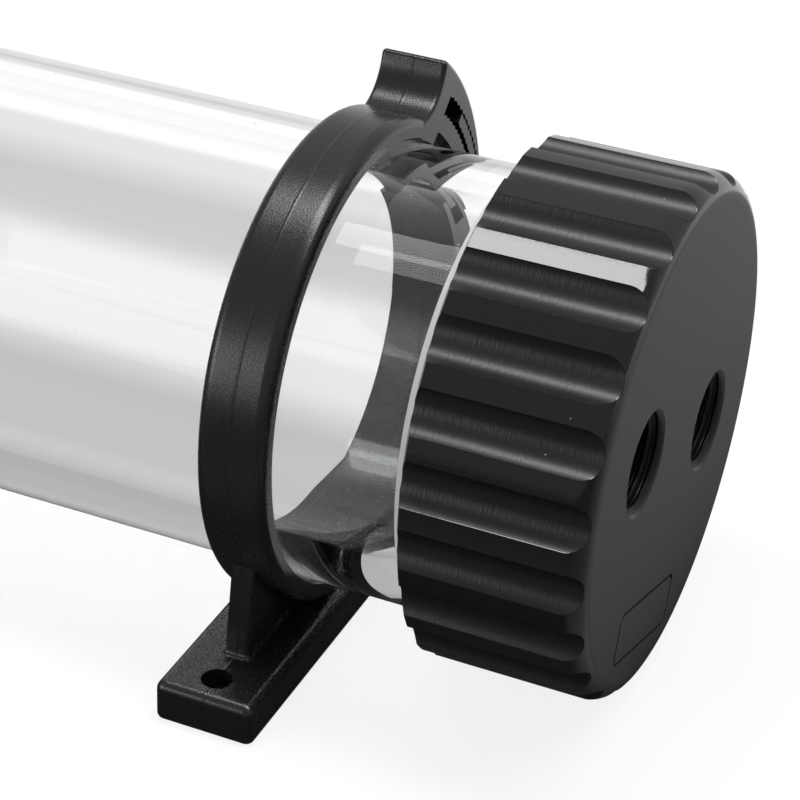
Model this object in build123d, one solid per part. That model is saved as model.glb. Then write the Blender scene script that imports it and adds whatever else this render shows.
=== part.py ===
from build123d import *
import math
import os

# Water cooling reservoir: a clear tube that lies along X in two sprung
# clamps, with a fluted screw cap on each end. The origin is on the mounting
# surface under the middle of the tube. Sizes are in millimetres.

# Tube
tube_outer_r = 30.0
tube_wall = 5.0
tube_length = 180.0
tube_edge = 0.4

# Screw caps
cap_wall = 4.7
cap_skirt = 15.0
cap_end_wall = 9.6
cap_face_round = 3.2
cap_rim_chamfer = 0.7
cap_rim_drop = 1.5
cap_mouth_chamfer = 0.3
cap_thread_gap = 0.3
flute_count = 24
flute_width = 6.1
flute_depth = 1.75
port_thread_r = 6.58
port_spacing = 29.0
port_chamfer = 0.45
port_tilt = -17.5
frame_length = 23.4
frame_height = 7.4
frame_drop = 24.4
frame_line = 0.45
frame_depth = 0.25

# Seal ring between a tube end and its cap, drawn as it sits when squeezed
seal_width = 2.6
seal_height = 2.1
seal_stand = 0.5
seal_bevel = 0.7
seal_side_gap = 0.3

# Clamp brackets
bracket_spacing = 104.8
ring_width = 9.5
ring_gap = 0.35
ring_thickness = 3.05
ring_round = 1.5
ring_inner_bevel = 0.25
foot_height = 6.0
foot_width = 14.0
foot_half_length = 40.2
foot_round = 1.4
foot_corner = 1.2
foot_sole_round = 0.9
hole_inset = 4.2
hole_r = 2.1
web_thickness = 3.4
web_top_y = 28.9
web_hole_gap = 3.3
web_fillet = 0.8
web_edge_round = 0.5

# Clamp jaws, as angles about the tube's axis from the far side upwards
spring_angle = 210.0
jaw_root_angle = 53.6
tab_foot_angle = 64.5
inner_jaw_tip_angle = 27.5
outer_jaw_tip_angle = 22.0
tongue_tip_angle = 43.0
prong_tip_angle = 33.0
slot_end_angle = 19.0
ramp_top_angle = 13.0
ramp_foot_angle = -9.0
inner_jaw_rise = 1.95
inner_jaw_thickness = 2.4
tongue_thickness = 1.15
outer_jaw_clearance = 0.1
jaw_clearance = 0.65
prong_clearance = 0.25
tooth_height = 0.3
tooth_pitch = 2.3
tab_height = 8.0
tab_top = 1.3
tab_edge_round = 0.6

# Derived sizes
axis_height = foot_height + tube_outer_r
tube_inner_r = tube_outer_r - tube_wall
tube_end_x = tube_length / 2
shoulder_x = tube_end_x + seal_stand
face_x = shoulder_x + cap_end_wall
rim_x = shoulder_x - cap_skirt
skirt_r = tube_outer_r + cap_thread_gap
cap_outer_r = skirt_r + cap_wall
seal_mid_r = tube_outer_r - tube_wall / 2
ring_in = tube_outer_r + ring_gap
ring_out = ring_in + ring_thickness
hole_y = foot_half_length - hole_inset
web_foot_y = hole_y - hole_r - web_hole_gap

# Radii of the jaws, from the tube outwards
inner_jaw_in = ring_in + inner_jaw_rise
prong_out = inner_jaw_in - prong_clearance
inner_jaw_root = inner_jaw_in + inner_jaw_thickness
inner_jaw_teeth = inner_jaw_root + tooth_height
tongue_low_teeth = inner_jaw_teeth + jaw_clearance
tongue_low = tongue_low_teeth + tooth_height
tongue_high = tongue_low + tongue_thickness
tongue_high_teeth = tongue_high + tooth_height
outer_jaw_teeth = tongue_high_teeth + outer_jaw_clearance
outer_jaw_root = outer_jaw_teeth + tooth_height


def polar(r, a):
    """A point of the ring's plane at radius r and angle a in degrees."""
    return (r * math.cos(math.radians(a)), r * math.sin(math.radians(a)))


def arc(r, a0, a1):
    """An arc about the tube's axis from angle a0 to a1."""
    return ThreePointArc(polar(r, a0), polar(r, (a0 + a1) / 2), polar(r, a1))


def saw(root_r, tip_r, a0, a1):
    """Ratchet teeth from angle a0 to a1: a slope up, then a steep drop."""
    count = max(1, round(abs(a1 - a0) / tooth_pitch))
    step = (a1 - a0) / count
    points = []
    for i in range(count):
        points.append(polar(root_r, a0 + step * i))
        points.append(polar(tip_r, a0 + step * (i + 0.82)))
    points.append(polar(root_r, a1))
    return Polyline(*points)


def ring_arc(a0, a1):
    """The clamp ring from angle a0 to a1, its two outer edges rounded."""
    section = Pos(0, (ring_in + ring_out) / 2) * Rectangle(ring_width, ring_thickness)
    outer = section.vertices().sort_by(Axis.Y)[-2:]
    section = fillet(outer, ring_round)
    section = chamfer(section.vertices().sort_by(Axis.Y)[:2], ring_inner_bevel)
    return Rot(X=a0) * revolve(section, Axis.X, revolution_arc=a1 - a0)


def plate(lines, width):
    """A closed outline of the ring's plane, thickened both ways along X."""
    face = Plane.YZ * make_face(lines)
    return extrude(face, amount=width / 2, dir=(1, 0, 0), both=True)


def stands_on(edge, point):
    """True if an edge's middle lies over a point of the ring's plane."""
    middle = edge @ 0.5
    return math.hypot(middle.Y - point.X, middle.Z - point.Y) < 0.01


# Tube: thick clear acrylic, open at both ends, with its edges broken
wall = Pos(0, (tube_outer_r + tube_inner_r) / 2) * Rectangle(tube_length, tube_wall)
wall = chamfer(wall.vertices(), tube_edge)
tube = Pos(0, 0, axis_height) * revolve(wall, Axis.X)


# Cap: turned body, then flutes milled round it, ports and the blank frame
def cap_blank():
    """The turned body of the +X cap, about the X axis."""
    groove_in = seal_mid_r - seal_width / 2 - seal_side_gap
    groove_out = seal_mid_r + seal_width / 2 + seal_side_gap
    groove_x = shoulder_x + seal_height - seal_stand
    profile = Polyline(
        (face_x, 0),
        (face_x, cap_outer_r),
        (rim_x + cap_rim_chamfer, cap_outer_r),
        (rim_x, cap_outer_r - cap_rim_drop),
        (rim_x, skirt_r),
        (shoulder_x, skirt_r),
        (shoulder_x, groove_out),
        (groove_x, groove_out),
        (groove_x, groove_in),
        (shoulder_x, groove_in),
        (shoulder_x, 0),
        close=True,
    )
    face = make_face(profile)
    face = fillet(face.vertices().group_by(Axis.X)[-1].sort_by(Axis.Y)[-1:], cap_face_round)
    mouth = face.vertices().group_by(Axis.X)[0].sort_by(Axis.Y)[:1]
    face = chamfer(mouth, cap_mouth_chamfer)
    return revolve(face, Axis.X)


def flutes():
    """Round-bottomed flutes along the whole cap, one between each two lands."""
    half = flute_width / 2
    edge = math.sqrt(cap_outer_r**2 - half**2)
    rise = edge - (cap_outer_r - flute_depth)
    cutter_r = (half**2 + rise**2) / (2 * rise)
    centre = cap_outer_r - flute_depth + cutter_r
    length = 2 * (face_x - rim_x)
    cutter = Pos((face_x + rim_x) / 2, centre, 0) * Rot(Y=90) * Cylinder(cutter_r, length)
    pitch = 360 / flute_count
    return [Rot(X=pitch * (i + 0.5)) * cutter for i in range(flute_count)]


def make_cap():
    """The whole +X cap with its ports on a level line."""
    body = cap_blank() - flutes()
    for side in (-1, 1):
        port = Pos(shoulder_x + cap_end_wall / 2, side * port_spacing / 2, 0) * Rot(Y=90)
        body -= port * Cylinder(port_thread_r, cap_end_wall * 1.5)
        mouth = Pos(face_x - port_chamfer / 2, side * port_spacing / 2, 0) * Rot(Y=90)
        body -= mouth * Cone(port_thread_r, port_thread_r + port_chamfer, port_chamfer)
    outside = RectangleRounded(frame_length, frame_height, frame_height / 5)
    inside = RectangleRounded(
        frame_length - 2 * frame_line,
        frame_height - 2 * frame_line,
        frame_height / 5 - frame_line / 2,
    )
    line = Plane.YZ.offset(face_x) * Pos(0, -frame_drop) * (outside - inside)
    body -= extrude(line, amount=-frame_depth)
    return body


cap = Rot(X=port_tilt) * make_cap()
cap_front = Pos(0, 0, axis_height) * cap
cap_rear = Pos(0, 0, axis_height) * Rot(Z=180) * cap

# Seal ring: round rubber cord squeezed flat on its two faces
squeezed = Pos(tube_end_x + seal_height / 2, seal_mid_r) * Rectangle(seal_height, seal_width)
squeezed = chamfer(squeezed.vertices(), seal_bevel)
seal = revolve(squeezed, Axis.X)
seal_front = Pos(0, 0, axis_height) * seal
seal_rear = Pos(0, 0, axis_height) * Rot(Z=180) * seal


# Spring arm of a clamp: near and upper ring, grip tab, and two toothed jaws
def make_arm():
    """The moving half of the clamp, about the tube's axis."""
    top_r = ring_out + tab_height
    tab_corner = polar(top_r, jaw_root_angle + 6.6)
    tab_edge = polar(top_r, jaw_root_angle + 6.6 - math.degrees(tab_top / top_r))
    tab_hollow = polar(ring_out + tab_height * 0.32, jaw_root_angle + 6.3)
    tab_foot = polar(ring_out - ring_thickness * 0.2, tab_foot_angle)
    outer_mid = polar(outer_jaw_root + 2.45, 42.0)
    outer_end = polar(outer_jaw_root + 0.75, outer_jaw_tip_angle)
    hollow = ThreePointArc(tab_foot, tab_hollow, tab_corner)
    top = Line(tab_corner, tab_edge)
    lines = [
        hollow,
        top,
        ThreePointArc(tab_edge, outer_mid, outer_end),
        Line(outer_end, polar(outer_jaw_root, outer_jaw_tip_angle)),
        saw(outer_jaw_root, outer_jaw_teeth, outer_jaw_tip_angle, jaw_root_angle - 1),
        Line(polar(outer_jaw_root, jaw_root_angle - 1), polar(inner_jaw_root, jaw_root_angle)),
        saw(inner_jaw_root, inner_jaw_teeth, jaw_root_angle, inner_jaw_tip_angle),
        Line(polar(inner_jaw_root, inner_jaw_tip_angle), polar(inner_jaw_in, inner_jaw_tip_angle)),
        arc(inner_jaw_in, inner_jaw_tip_angle, jaw_root_angle + 0.6),
        Line(polar(inner_jaw_in, jaw_root_angle + 0.6), polar(ring_in, jaw_root_angle + 1.6)),
        arc(ring_in, jaw_root_angle + 1.6, tab_foot_angle),
        Line(polar(ring_in, tab_foot_angle), tab_foot),
    ]
    jaws = plate(lines, ring_width)
    grips = [hollow @ 0.5, top @ 0, top @ 0.5, top @ 1]
    jaws = fillet([e for g in grips for e in jaws.edges() if stands_on(e, g)], tab_edge_round)
    return jaws + ring_arc(jaw_root_angle + 3, spring_angle)


# Base of a clamp: foot, webs, lower and far ring, prong and toothed tongue
def make_base():
    """The fixed half of the clamp, about the tube's axis."""
    lines = [
        Line(polar(ring_out, ramp_foot_angle), polar(tongue_high, ramp_top_angle)),
        arc(tongue_high, ramp_top_angle, outer_jaw_tip_angle),
        saw(tongue_high, tongue_high_teeth, outer_jaw_tip_angle, tongue_tip_angle),
        Line(polar(tongue_high, tongue_tip_angle), polar(tongue_low, tongue_tip_angle)),
        saw(tongue_low, tongue_low_teeth, tongue_tip_angle, outer_jaw_tip_angle),
        arc(tongue_low, outer_jaw_tip_angle, slot_end_angle),
        Line(polar(tongue_low, slot_end_angle), polar(prong_out, slot_end_angle)),
        arc(prong_out, slot_end_angle, prong_tip_angle),
        Line(polar(prong_out, prong_tip_angle), polar(ring_in, prong_tip_angle)),
        arc(ring_in, prong_tip_angle, ramp_foot_angle),
        Line(polar(ring_in, ramp_foot_angle), polar(ring_out, ramp_foot_angle)),
    ]
    far_jaw = plate(lines, ring_width)
    ring = ring_arc(spring_angle - 360, ramp_foot_angle + 2)

    foot = Pos(0, 0, foot_height / 2 - axis_height) * Box(foot_width, 2 * foot_half_length, foot_height)
    foot = fillet(foot.edges().filter_by(Axis.Z), foot_corner)
    foot = fillet(foot.edges().group_by(Axis.Z)[-1], foot_round)
    foot = fillet(foot.edges().group_by(Axis.Z)[0], foot_sole_round)
    for side in (-1, 1):
        hole = Pos(0, side * hole_y, foot_height / 2 - axis_height)
        foot -= hole * Cylinder(hole_r, foot_height * 2)

    seat_z = polar(ring_out, spring_angle)[1]
    foot_z = foot_height - axis_height
    sides = [Line((-side * web_foot_y, foot_z), (-side * web_top_y, seat_z)) for side in (-1, 1)]
    web = Polyline(
        sides[0] @ 1,
        sides[0] @ 0,
        sides[1] @ 0,
        sides[1] @ 1,
        close=True,
    )
    web = plate([web], web_thickness)
    web = fillet([e for s in sides for e in web.edges() if stands_on(e, s @ 0.5)], web_edge_round)
    base = foot + web
    reach = web_foot_y + web_edge_round
    root = [
        e for e in base.edges()
        if abs((e @ 0.5).Z - foot_z) < 0.01 and abs((e @ 0.5).X) < web_thickness and abs((e @ 0.5).Y) < reach
    ]
    base = fillet(root, web_fillet)
    base -= Rot(Y=90) * Cylinder((ring_in + ring_out) / 2, 2 * foot_width)
    return base + ring + far_jaw


arm = make_arm()
base = make_base()
place_front = Pos(bracket_spacing / 2, 0, axis_height)
place_rear = Pos(-bracket_spacing / 2, 0, axis_height)

nodes = {
    "tube": tube,
    "cap_front": cap_front,
    "cap_rear": cap_rear,
    "seal_front": seal_front,
    "seal_rear": seal_rear,
    "bracket_front_base": place_front * base,
    "bracket_front_arm": place_front * arm,
    "bracket_rear_base": place_rear * base,
    "bracket_rear_arm": place_rear * arm,
}

os.makedirs("parts", exist_ok=True)
for name, shape in nodes.items():
    solids = shape.solids()
    print(name, len(solids), round(sum(s.volume for s in solids), 1))
    export_step(solids[0] if len(solids) == 1 else Compound(solids), f"parts/{name}.step")
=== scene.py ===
import math
import bpy
import numpy as np
from mathutils import Matrix, Vector


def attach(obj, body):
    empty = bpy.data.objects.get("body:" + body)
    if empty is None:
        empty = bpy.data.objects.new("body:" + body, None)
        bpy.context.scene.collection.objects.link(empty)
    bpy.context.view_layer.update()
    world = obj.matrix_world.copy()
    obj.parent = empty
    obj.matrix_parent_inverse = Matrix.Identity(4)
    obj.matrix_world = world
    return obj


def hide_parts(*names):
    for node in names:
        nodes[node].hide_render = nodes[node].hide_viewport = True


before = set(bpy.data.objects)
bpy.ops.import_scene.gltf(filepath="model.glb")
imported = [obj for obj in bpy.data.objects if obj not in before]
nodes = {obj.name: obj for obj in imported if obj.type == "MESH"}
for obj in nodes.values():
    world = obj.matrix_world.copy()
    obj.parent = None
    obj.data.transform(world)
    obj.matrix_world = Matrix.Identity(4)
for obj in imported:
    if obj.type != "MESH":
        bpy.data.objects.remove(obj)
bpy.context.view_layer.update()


# Camera: stands in front of the near side, above the screw cap, as in the photograph,
# with a long lens and a slight roll.
azimuth, elevation, roll = math.radians(22.468), math.radians(30.909), math.radians(2.7)
away = Vector((
    math.sin(azimuth) * math.cos(elevation),
    -math.cos(azimuth) * math.cos(elevation),
    math.sin(elevation),
))
level = (-away).cross(Vector((0, 0, 1))).normalized()
upright = level.cross(-away)
right = level * math.cos(roll) + upright * math.sin(roll)
up = upright * math.cos(roll) - level * math.sin(roll)
lens = bpy.data.cameras.new("camera")
lens.lens = 114.64
lens.sensor_width = 36.0
lens.clip_start = 0.01
camera = bpy.data.objects.new("camera", lens)
view = Matrix((right, up, away)).transposed().to_4x4()
view.translation = Vector((0.17329, -0.27093, 0.20687))
camera.matrix_world = view
bpy.context.scene.collection.objects.link(camera)
bpy.context.scene.camera = camera
bpy.context.scene.view_settings.view_transform = "Standard"


# Studio lamps: one long softbox straight overhead, which reaches further beyond the
# front cap than beyond the rear one, and a weak fill at the front left.
def panel(name, place, aim, size, radiance):
    """A rectangular lamp of one radiance, whatever its size."""
    lamp = bpy.data.lights.new(name, "AREA")
    lamp.shape = "RECTANGLE"
    lamp.size, lamp.size_y = size
    lamp.energy = radiance * math.pi * size[0] * size[1]
    lamp.use_shadow = True
    ob = bpy.data.objects.new(name, lamp)
    ob.location = place
    ob.rotation_euler = (Vector(aim) - Vector(place)).to_track_quat("-Z", "Y").to_euler()
    bpy.context.scene.collection.objects.link(ob)


panel("softbox", place=(0.21, 0.03, 0.78), aim=(0.21, 0.03, 0.0), size=(0.88, 0.18), radiance=12.8)
panel("fill", place=(-0.31, -0.42, 0.17), aim=(-0.05, 0.0, 0.06), size=(0.36, 0.2), radiance=3.8)


# Room: dim in front and lighter behind, where reflections see it. The camera, and what
# is seen straight through the tube, find it white.
def add(tree, kind, inputs=None, **values):
    """A node of the tree, with its input values and its attributes set by name."""
    node = tree.nodes.new(kind)
    for key, value in values.items():
        setattr(node, key, value)
    for key, value in (inputs or {}).items():
        node.inputs[key].default_value = value
    return node


def wire(tree, *rows):
    """Links in the tree, one a row: from a node's output to another node's input."""
    for source, output, target, entry in rows:
        tree.links.new(source.outputs[output], target.inputs[entry])


def grey_ramp(tree, low, high, stops):
    """A colour ramp over a length or a direction, from (place, grey) stops."""
    place = add(tree, "ShaderNodeMapRange", {"From Min": low, "From Max": high})
    ramp = add(tree, "ShaderNodeValToRGB")
    wire(tree, (place, "Result", ramp, "Fac"))
    while len(ramp.color_ramp.elements) < len(stops):
        ramp.color_ramp.elements.new(0.5)
    for element, (at, grey) in zip(ramp.color_ramp.elements, stops):
        element.position = (at - low) / (high - low)
        element.color = (grey, grey, grey, 1)
    return place, ramp


world = bpy.data.worlds.new("room")
bpy.context.scene.world = world
world.use_nodes = True
wt = world.node_tree
wt.nodes.clear()
w_out = add(wt, "ShaderNodeOutputWorld")
w_mix = add(wt, "ShaderNodeMixShader")
w_lit = add(wt, "ShaderNodeBackground", {"Strength": 1.0})
w_seen = add(wt, "ShaderNodeBackground", {"Color": (1, 1, 1, 1), "Strength": 1.0})
w_path = add(wt, "ShaderNodeLightPath")
w_direct = add(wt, "ShaderNodeMath", operation="MAXIMUM")
w_way = add(wt, "ShaderNodeTexCoord")
w_axis = add(wt, "ShaderNodeSeparateXYZ")
w_place, w_ramp = grey_ramp(wt, -1.0, 1.0, [
    (-1.0, 0.37), (0.35, 0.37), (0.55, 0.7), (0.75, 0.6), (0.9, 0.62), (0.94, 1.0),
])
wire(
    wt,
    (w_way, "Generated", w_axis, 0),
    (w_axis, "Y", w_place, "Value"),
    (w_ramp, "Color", w_lit, "Color"),
    (w_path, "Is Camera Ray", w_direct, 0),
    (w_path, "Is Transmission Ray", w_direct, 1),
    (w_direct, 0, w_mix, "Fac"),
    (w_lit, 0, w_mix, 1),
    (w_seen, 0, w_mix, 2),
    (w_mix, 0, w_out, "Surface"),
)


# Floor: a plain white sweep under the feet. Seen straight it is near white and keeps a soft shadow;
# through the tube and in reflections it glows with painted light and shade, its front darker.
def grid_mesh(name, x, y, z, close_u=False, close_v=False):
    """A mesh from three arrays of shape (nu, nv): one quad per cell of the grid."""
    nu, nv = x.shape
    co = np.stack([x, y, z], -1).reshape(-1, 3)
    iu = np.arange(nu if close_u else nu - 1)
    iv = np.arange(nv if close_v else nv - 1)
    a, b = np.meshgrid(iu, iv, indexing="ij")
    a2, b2 = (a + 1) % nu, (b + 1) % nv
    quads = np.stack([a * nv + b, a2 * nv + b, a2 * nv + b2, a * nv + b2], -1).reshape(-1, 4)
    mesh = bpy.data.meshes.new(name)
    mesh.from_pydata(co.tolist(), [], quads.tolist())
    mesh.polygons.foreach_set("use_smooth", np.ones(len(quads), bool))
    mesh.update()
    ob = bpy.data.objects.new(name, mesh)
    bpy.context.scene.collection.objects.link(ob)
    return ob


def fresh(name):
    """A new material with an empty node tree."""
    mat = bpy.data.materials.new(name)
    mat.use_nodes = True
    mat.node_tree.nodes.clear()
    return mat, mat.node_tree


def span(tree, low, high, to_low=0.0, to_high=1.0, **values):
    """A map range node, from low..high to to_low..to_high."""
    ends = {"From Min": low, "From Max": high, "To Min": to_low, "To Max": to_high}
    return add(tree, "ShaderNodeMapRange", ends, **values)


def maths(tree, operation, second=None):
    """A math node, with its second value where nothing is linked to it."""
    inputs = {} if second is None else {1: second}
    return add(tree, "ShaderNodeMath", inputs, operation=operation)


floor_reach = 2.5
floor_steps = np.linspace(-floor_reach, floor_reach, 9)
floor_x, floor_y = np.meshgrid(floor_steps, floor_steps, indexing="ij")
floor = grid_mesh("floor", floor_x, floor_y, np.zeros_like(floor_x))
floor_white, ft = fresh("floor_white")
f_out = add(ft, "ShaderNodeOutputMaterial")
f_path = add(ft, "ShaderNodeLightPath")
f_coord = add(ft, "ShaderNodeTexCoord")
f_axis = add(ft, "ShaderNodeSeparateXYZ")

# What the camera sees: mostly a plain white, with some of the lit surface and its shadow.
f_matt = add(ft, "ShaderNodeBsdfDiffuse", {"Color": (0.86, 0.86, 0.86, 1)})
f_glow = add(ft, "ShaderNodeEmission", {"Color": (1, 1, 1, 1), "Strength": 1.0})
f_keep = maths(ft, "MULTIPLY", 0.85)
f_plain = add(ft, "ShaderNodeMixShader")

# What reflections see: painted shade, darker towards the front, and a painted shadow, darkest under the
# object.
f_painted_falloff_at, f_painted_falloff = grey_ramp(ft, -0.12, 0.20, [
    (-0.12, 0.12), (-0.04, 0.27), (0.08, 0.5), (0.13, 0.62), (0.20, 1.0),
])
f_x_off = maths(ft, "ABSOLUTE")
f_y = maths(ft, "SUBTRACT", 0.01)
f_y_off = maths(ft, "ABSOLUTE")
# The object's footprint below marks where the painted shadow lies in reflections.
f_beside = span(ft, 0.098, 0.118, interpolation_type="SMOOTHSTEP")
f_beyond = span(ft, 0.055, 0.1, interpolation_type="SMOOTHSTEP")
f_outside_painted_shadow = maths(ft, "MAXIMUM")
f_painted_shadow = span(ft, 0.0, 1.0, 0.1, 1.0)
f_painted_falloff_glow = add(ft, "ShaderNodeEmission")
f_mirrored = add(ft, "ShaderNodeMixShader")

# What is seen through the tube: soft bands of painted light and painted shade along it.
f_painted_band_at, f_painted_band = grey_ramp(ft, -0.02, 0.24, [
    (-0.016, 0.42), (-0.007, 0.48), (0.003, 0.54), (0.007, 0.50), (0.0194, 0.51), (0.0287, 0.49),
    (0.0333, 0.56), (0.0400, 0.69), (0.0430, 0.74), (0.0525, 0.755), (0.0555, 0.84), (0.0585, 0.84),
    (0.0615, 0.765), (0.0701, 0.76), (0.0753, 0.755), (0.0832, 0.61), (0.0888, 0.575), (0.109, 0.56),
    (0.118, 0.62), (0.129, 0.67), (0.144, 0.745), (0.184, 0.76), (0.22, 1.0),
])
f_painted_band_glow = add(ft, "ShaderNodeEmission", {"Strength": 1.1})
f_through = add(ft, "ShaderNodeMixShader")
wire(
    ft,
    (f_coord, "Object", f_axis, 0),
    (f_path, "Is Camera Ray", f_keep, 0),
    (f_keep, 0, f_plain, "Fac"),
    (f_matt, 0, f_plain, 1),
    (f_glow, 0, f_plain, 2),
    (f_axis, "Y", f_painted_falloff_at, "Value"),
    (f_axis, "X", f_x_off, 0),
    (f_axis, "Y", f_y, 0),
    (f_y, 0, f_y_off, 0),
    (f_x_off, 0, f_beside, "Value"),
    (f_y_off, 0, f_beyond, "Value"),
    (f_beside, "Result", f_outside_painted_shadow, 0),
    (f_beyond, "Result", f_outside_painted_shadow, 1),
    (f_outside_painted_shadow, 0, f_painted_shadow, "Value"),
    (f_painted_falloff, "Color", f_painted_falloff_glow, "Color"),
    (f_painted_shadow, "Result", f_painted_falloff_glow, "Strength"),
    (f_path, "Is Glossy Ray", f_mirrored, "Fac"),
    (f_plain, 0, f_mirrored, 1),
    (f_painted_falloff_glow, 0, f_mirrored, 2),
    (f_axis, "Y", f_painted_band_at, "Value"),
    (f_painted_band, "Color", f_painted_band_glow, "Color"),
    (f_path, "Is Transmission Ray", f_through, "Fac"),
    (f_mirrored, 0, f_through, 1),
    (f_painted_band_glow, 0, f_through, 2),
    (f_through, 0, f_out, "Surface"),
)
floor.data.materials.append(floor_white)


# Tube: extruded clear acrylic, 60 mm outside and 5 mm thick, cut to length, its ends
# faced, bevelled and turned with a fine, matt outer thread that the caps screw onto.
tube_r, bore_r, tube_half, axis_z = 0.030, 0.025, 0.090, 0.036
outer_bevel, bore_bevel, edge_gap = 0.0006, 0.0004, 0.0001
cap_mouth = 0.0755
thread_pitch, thread_depth, thread_run_out = 0.002, 0.00055, 0.0012


def tube_surface():
    """A closed profile turned about the axis: along the outside, over the bevel, down the
    end and back along the bore, with a ring of points close to each edge to keep it crisp.
    Under a cap the outside dips by a rounded thread, half of one minus the cosine of a
    phase that turns once round the tube per pitch. It fades out towards the middle."""
    around = np.linspace(0, 2 * np.pi, 288, endpoint=False)
    turned = np.linspace(cap_mouth - thread_run_out, tube_half - outer_bevel, 120)
    middle = np.linspace(-turned[0], turned[0], 41)[1:-1]
    outside = np.concatenate([-turned[::-1], middle, turned])
    end = np.full(4, tube_half)
    end_top, end_foot = tube_r - outer_bevel, bore_r + bore_bevel
    end_r = np.array([end_top, end_top - edge_gap, end_foot + edge_gap, end_foot])
    bore_half = tube_half - bore_bevel
    bore = np.linspace(bore_half - edge_gap / 2, -bore_half + edge_gap / 2, 61)
    bore = np.concatenate([[bore_half], bore, [-bore_half]])
    x = np.concatenate([outside, end, bore, -end])
    flat = np.concatenate([np.full(len(outside), tube_r), end_r, np.full(len(bore), bore_r), end_r[::-1]])
    depth = np.zeros(len(x))
    fade = np.clip((np.abs(outside) - turned[0]) / thread_run_out, 0, 1)
    depth[: len(outside)] = thread_depth * fade
    a, along = np.meshgrid(around, x, indexing="ij")
    side = np.where(along > 0, 1.0, -1.0)
    phase = np.abs(along) / thread_pitch - side * a / (2 * np.pi)
    wave = 0.5 - 0.5 * np.cos(2 * np.pi * phase)
    r = flat[None, :] - depth[None, :] * wave
    return grid_mesh("tube_body", along, r * np.cos(a), axis_z + r * np.sin(a), True, True)


tube_body = tube_surface()
acrylic, at = fresh("clear_acrylic")
a_out = add(at, "ShaderNodeOutputMaterial")
a_clear = add(at, "ShaderNodeBsdfPrincipled", {
    "Base Color": (0.985, 0.99, 0.992, 1), "Transmission Weight": 1.0, "IOR": 1.22,
})
a_frost = add(at, "ShaderNodeBsdfDiffuse", {"Color": (0.6, 0.605, 0.61, 1)})
a_mix = add(at, "ShaderNodeMixShader")
a_coord = add(at, "ShaderNodeTexCoord")
a_axis = add(at, "ShaderNodeSeparateXYZ")
a_abs = maths(at, "ABSOLUTE")
a_turned = span(at, cap_mouth - 0.0020, cap_mouth - 0.0018, 0.0, 0.5)
a_matt = maths(at, "MULTIPLY", 1.9)
a_dust = add(at, "ShaderNodeTexVoronoi", {"Scale": 420.0}, feature="F1")
a_speck = span(at, 0.06, 0.09, 1.0, 0.0)
a_rare = add(at, "ShaderNodeSeparateColor")
a_few = maths(at, "GREATER_THAN", 0.93)
a_spot = maths(at, "MULTIPLY")
a_rough = maths(at, "MULTIPLY_ADD", 0.5)
a_draw = add(at, "ShaderNodeMapping", {"Scale": (0.03, 1.0, 1.0)})
a_lines = add(at, "ShaderNodeTexNoise", {"Scale": 900.0})
a_bump = add(at, "ShaderNodeBump", {"Strength": 0.004, "Distance": 0.00005})
wire(
    at,
    (a_coord, "Object", a_axis, 0),
    (a_axis, "X", a_abs, 0),
    (a_abs, 0, a_turned, "Value"),
    (a_coord, "Object", a_dust, "Vector"),
    (a_dust, "Distance", a_speck, "Value"),
    (a_dust, "Color", a_rare, 0),
    (a_rare, 0, a_few, 0),
    (a_speck, "Result", a_spot, 0),
    (a_few, 0, a_spot, 1),
    (a_spot, 0, a_rough, 0),
    (a_turned, "Result", a_rough, 2),
    (a_rough, 0, a_clear, "Roughness"),
    (a_coord, "Object", a_draw, "Vector"),
    (a_draw, "Vector", a_lines, "Vector"),
    (a_lines, "Fac", a_bump, "Height"),
    (a_bump, "Normal", a_clear, "Normal"),
    (a_turned, "Result", a_matt, 0),
    (a_matt, 0, a_mix, "Fac"),
    (a_clear, 0, a_mix, 1),
    (a_frost, 0, a_mix, 2),
    (a_mix, 0, a_out, "Surface"),
)
tube_body.data.materials.append(acrylic)
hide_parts("tube")
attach(tube_body, "tube_and_holders")


# Screw caps: turned from black acetal bar and faced, polished on the lands and the
# rolled edge, and milled along the flutes, with fine marks across them.
cap_face = 0.1001
roll_x, roll_r = 0.0969, 0.0318
port_spacing, port_tilt = 0.029, math.radians(-17.5)
acetal, ct = fresh("black_acetal")
c_out = add(ct, "ShaderNodeOutputMaterial")
c_main = add(ct, "ShaderNodeBsdfPrincipled")
# The near-black matt shader below is painted shade for the inside of the ports.
c_port_shade = add(ct, "ShaderNodeBsdfDiffuse", {"Color": (0.003, 0.003, 0.003, 1)})
c_mix = add(ct, "ShaderNodeMixShader")
c_coord = add(ct, "ShaderNodeTexCoord")
c_centred = add(ct, "ShaderNodeMapping", {"Location": (0, 0, -axis_z)})
c_axis = add(ct, "ShaderNodeSeparateXYZ")
c_abs = maths(ct, "ABSOLUTE")
wire(
    ct,
    (c_coord, "Object", c_centred, "Vector"),
    (c_centred, "Vector", c_axis, 0),
    (c_axis, "X", c_abs, 0),
    (c_main, 0, c_mix, 1),
    (c_port_shade, 0, c_mix, 2),
    (c_mix, 0, c_out, "Surface"),
)

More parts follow.
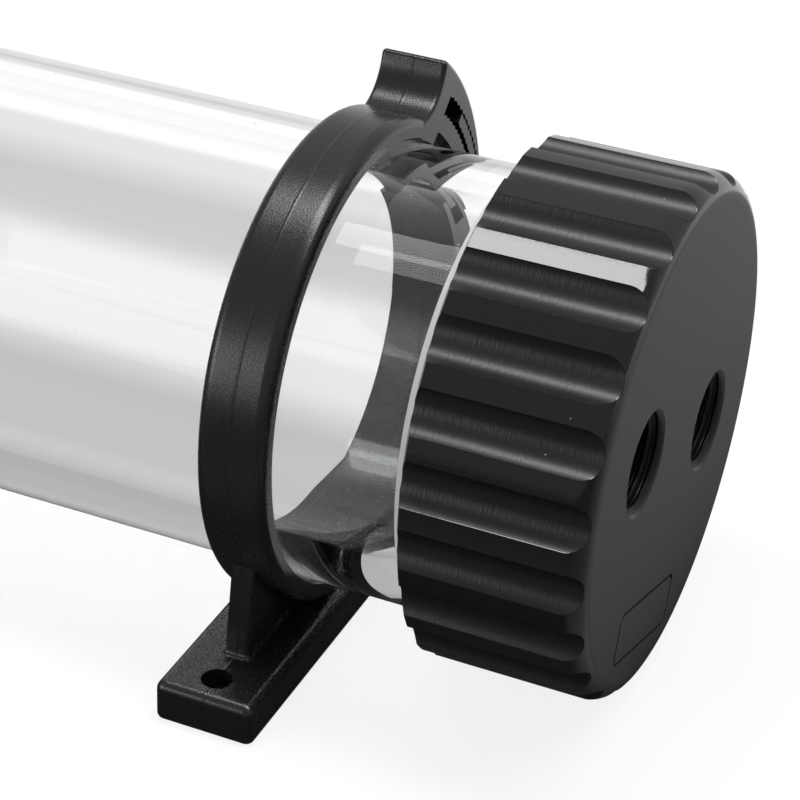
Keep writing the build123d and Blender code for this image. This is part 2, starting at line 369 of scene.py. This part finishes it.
# Faced end, lands and flutes: roughness, and tone of the face. Rolled edge and lands lie
# the roll's full radius outside the circle that the edge is rolled about, and the flutes
# lie nearer. A Mix node's sockets go by number: 0 is the factor, 2 and 3 are numbers, 6 and
# 7 are colours, and of its results 0 is the number and 2 the colour.
c_face = span(ct, cap_face - 0.00022, cap_face - 0.00008)
c_yy = maths(ct, "MULTIPLY")
c_zz = maths(ct, "MULTIPLY_ADD")
c_radius = maths(ct, "SQRT")
c_past_x = maths(ct, "SUBTRACT", roll_x)
c_past_r = maths(ct, "SUBTRACT", roll_r)
c_pair = add(ct, "ShaderNodeCombineXYZ")
c_above = add(ct, "ShaderNodeVectorMath", {1: (0, 0, 0)}, operation="MAXIMUM")
c_roll = add(ct, "ShaderNodeVectorMath", operation="LENGTH")
c_land = span(ct, 0.00311, 0.00316)
c_rough_side = span(ct, 0.0, 1.0, 0.37, 0.09)
c_rough = add(ct, "ShaderNodeMix", {3: 0.5}, data_type="FLOAT")
c_tones = {6: (0.005, 0.005, 0.0052, 1), 7: (0.012, 0.012, 0.0123, 1)}
c_tone = add(ct, "ShaderNodeMix", c_tones, data_type="RGBA")
wire(
    ct,
    (c_abs, 0, c_face, "Value"),
    (c_axis, "Y", c_yy, 0),
    (c_axis, "Y", c_yy, 1),
    (c_axis, "Z", c_zz, 0),
    (c_axis, "Z", c_zz, 1),
    (c_yy, 0, c_zz, 2),
    (c_zz, 0, c_radius, 0),
    (c_abs, 0, c_past_x, 0),
    (c_radius, 0, c_past_r, 0),
    (c_past_x, 0, c_pair, 0),
    (c_past_r, 0, c_pair, 1),
    (c_pair, 0, c_above, 0),
    (c_above, "Vector", c_roll, 0),
    (c_roll, "Value", c_land, "Value"),
    (c_land, "Result", c_rough_side, "Value"),
    (c_face, "Result", c_rough, 0),
    (c_rough_side, "Result", c_rough, 2),
    (c_rough, 0, c_main, "Roughness"),
    (c_face, "Result", c_tone, 0),
)

# Fine grain everywhere, milling marks in the flutes, and a few specks of dust.
c_noise = add(ct, "ShaderNodeTexNoise", {"Scale": 2600.0})
c_bump = add(ct, "ShaderNodeBump", {"Strength": 0.12, "Distance": 0.00005})
c_across = add(ct, "ShaderNodeMapping", {"Scale": (1.0, 0.12, 0.12)})
c_mill = add(ct, "ShaderNodeTexNoise", {"Scale": 3200.0})
c_mill_depth = span(ct, 0.0, 1.0, 0.55, 0.0)
c_mill_bump = add(ct, "ShaderNodeBump", {"Distance": 0.00006})
c_dust = add(ct, "ShaderNodeTexVoronoi", {"Scale": 420.0}, feature="F1")
c_speck = maths(ct, "LESS_THAN", 0.042)
c_rare = add(ct, "ShaderNodeSeparateColor")
c_few = maths(ct, "GREATER_THAN", 0.9)
c_spot = maths(ct, "MULTIPLY")
c_dusty = add(ct, "ShaderNodeMix", {7: (0.28, 0.28, 0.28, 1)}, data_type="RGBA")
wire(
    ct,
    (c_coord, "Object", c_dust, "Vector"),
    (c_dust, "Distance", c_speck, 0),
    (c_dust, "Color", c_rare, 0),
    (c_rare, 0, c_few, 0),
    (c_speck, 0, c_spot, 0),
    (c_few, 0, c_spot, 1),
    (c_spot, 0, c_dusty, 0),
    (c_tone, 2, c_dusty, 6),
    (c_dusty, 2, c_main, "Base Color"),
    (c_coord, "Object", c_noise, "Vector"),
    (c_noise, "Fac", c_bump, "Height"),
    (c_coord, "Object", c_across, "Vector"),
    (c_across, "Vector", c_mill, "Vector"),
    (c_land, "Result", c_mill_depth, "Value"),
    (c_mill_depth, "Result", c_mill_bump, "Strength"),
    (c_mill, "Fac", c_mill_bump, "Height"),
    (c_bump, "Normal", c_mill_bump, "Normal"),
    (c_mill_bump, "Normal", c_main, "Normal"),
)

# Painted shade inside the ports: mixed in by the distance from a port's axis, on either cap.
c_end = maths(ct, "SIGN")
c_y_end = maths(ct, "MULTIPLY")
c_yz = add(ct, "ShaderNodeCombineXYZ")
c_turn = add(ct, "ShaderNodeMapping", {"Rotation": (-port_tilt, 0, 0)})
c_row = add(ct, "ShaderNodeSeparateXYZ")
c_either = maths(ct, "ABSOLUTE")
c_from = maths(ct, "SUBTRACT", port_spacing / 2)
c_port = add(ct, "ShaderNodeCombineXYZ")
c_port_r = add(ct, "ShaderNodeVectorMath", operation="LENGTH")
c_port_shade_mask = span(ct, 0.0063, 0.0069, 0.6, 0.0)
wire(
    ct,
    (c_axis, "X", c_end, 0),
    (c_axis, "Y", c_y_end, 0),
    (c_end, 0, c_y_end, 1),
    (c_y_end, 0, c_yz, "Y"),
    (c_axis, "Z", c_yz, "Z"),
    (c_yz, 0, c_turn, "Vector"),
    (c_turn, "Vector", c_row, 0),
    (c_row, "Y", c_either, 0),
    (c_either, 0, c_from, 0),
    (c_from, 0, c_port, "X"),
    (c_row, "Z", c_port, "Y"),
    (c_port, 0, c_port_r, 0),
    (c_port_r, "Value", c_port_shade_mask, "Value"),
    (c_port_shade_mask, "Result", c_mix, "Fac"),
)


def coat(name, material):
    """Gives a CAD piece its one material."""
    nodes[name].data.materials.clear()
    nodes[name].data.materials.append(material)


coat("cap_front", acetal)
coat("cap_rear", acetal)


# Port threads: the standard quarter-inch parallel thread, cut right through each
# cap's end wall, two ports to a cap.
port_r, port_depth, port_pitch = 0.00656, 0.00086, 0.001337
port_run_out, sleeve_wall = 0.0007, 0.00004
wall_in, wall_out = 0.0906, 0.0996


def port_thread(name, end, side):
    """A closed sleeve about a port's axis: its outer wall is plain, and its inner wall
    follows a 55 degree V thread whose phase turns once round per pitch. The V is a triangle
    wave made half as high again and cut off at top and bottom, so its crests and roots are
    flat, and it fades out at the cap's face."""
    around = np.linspace(0, 2 * np.pi, 96, endpoint=False)
    inner = np.linspace(wall_in, wall_out, 109)
    s = np.concatenate([inner, inner[[-1, 0]]])
    a, along = np.meshgrid(around, s, indexing="ij")
    phase = (along / port_pitch - a / (2 * np.pi)) % 1.0
    ridge = np.clip(1.5 * (1 - np.abs(2 * phase - 1)) - 0.25, 0, 1)
    fade = np.clip((wall_out - along) / port_run_out, 0, 1)
    r = port_r - port_depth * ridge * fade
    r[:, -2:] = port_r + sleeve_wall
    c = side * port_spacing / 2
    y = c * math.cos(port_tilt) + r * np.cos(a)
    z = c * math.sin(port_tilt) + r * np.sin(a)
    if end < 0:
        return grid_mesh(name, -along, -y, axis_z + z, True, True)
    return grid_mesh(name, along, y, axis_z + z, True, True)


for end, cap in ((1, "front_cap"), (-1, "rear_cap")):
    for side in (-1, 1):
        thread = port_thread(f"{cap}_port_thread_{'a' if side < 0 else 'b'}", end, side)
        thread.data.materials.append(acetal)
        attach(thread, cap)


# Seal rings: round nitrile cord moulded as a ring, laid in the groove inside each cap
# and pressed flat against the tube's end.
rubber, rt = fresh("seal_rubber")
r_out = add(rt, "ShaderNodeOutputMaterial")
r_main = add(rt, "ShaderNodeBsdfPrincipled", {"Base Color": (0.012, 0.012, 0.012, 1)})
r_noise = add(rt, "ShaderNodeTexNoise", {"Scale": 1500.0})
r_rough = span(rt, 0.0, 1.0, 0.4, 0.6)
r_coord = add(rt, "ShaderNodeTexCoord")
wire(
    rt,
    (r_coord, "Object", r_noise, "Vector"),
    (r_noise, "Fac", r_rough, "Value"),
    (r_rough, "Result", r_main, "Roughness"),
    (r_main, 0, r_out, "Surface"),
)
coat("seal_front", rubber)
coat("seal_rear", rubber)


# Clamp brackets: moulded black nylon with a fine spark-eroded grain, smoother on the
# feet, and a faint parting line round the middle of the ring, the tab and the foot's ends.
bracket_x, foot_top = 0.0524, 0.006
nylon, nt = fresh("black_nylon")
n_out = add(nt, "ShaderNodeOutputMaterial")
n_main = add(nt, "ShaderNodeBsdfPrincipled", {"Base Color": (0.007, 0.007, 0.0073, 1)})
n_coord = add(nt, "ShaderNodeTexCoord")
n_axis = add(nt, "ShaderNodeSeparateXYZ")
n_grain = add(nt, "ShaderNodeTexNoise", {"Scale": 5600.0, "Detail": 1.0})
n_rough = span(nt, 0.35, 0.65, 0.22, 0.31)
n_depth = span(nt, foot_top + 0.0002, foot_top + 0.009, 0.05, 0.2)
n_bump = add(nt, "ShaderNodeBump", {"Distance": 0.00008})
n_abs = maths(nt, "ABSOLUTE")
n_off = maths(nt, "SUBTRACT", bracket_x)
n_dist = maths(nt, "ABSOLUTE")
n_line = span(nt, 0.00005, 0.00022, 1.0, 0.0)
n_seam = add(nt, "ShaderNodeBump", {"Strength": 0.85, "Distance": 0.00008})
wire(
    nt,
    (n_coord, "Object", n_grain, "Vector"),
    (n_grain, "Fac", n_rough, "Value"),
    (n_rough, "Result", n_main, "Roughness"),
    (n_grain, "Fac", n_bump, "Height"),
    (n_coord, "Object", n_axis, 0),
    (n_axis, "Z", n_depth, "Value"),
    (n_depth, "Result", n_bump, "Strength"),
    (n_axis, "X", n_abs, 0),
    (n_abs, 0, n_off, 0),
    (n_off, 0, n_dist, 0),
    (n_dist, 0, n_line, "Value"),
    (n_line, "Result", n_seam, "Height"),
    (n_bump, "Normal", n_seam, "Normal"),
    (n_seam, "Normal", n_main, "Normal"),
    (n_main, 0, n_out, "Surface"),
)
for end in ("front", "rear"):
    for half in ("base", "arm"):
        coat(f"bracket_{end}_{half}", nylon)
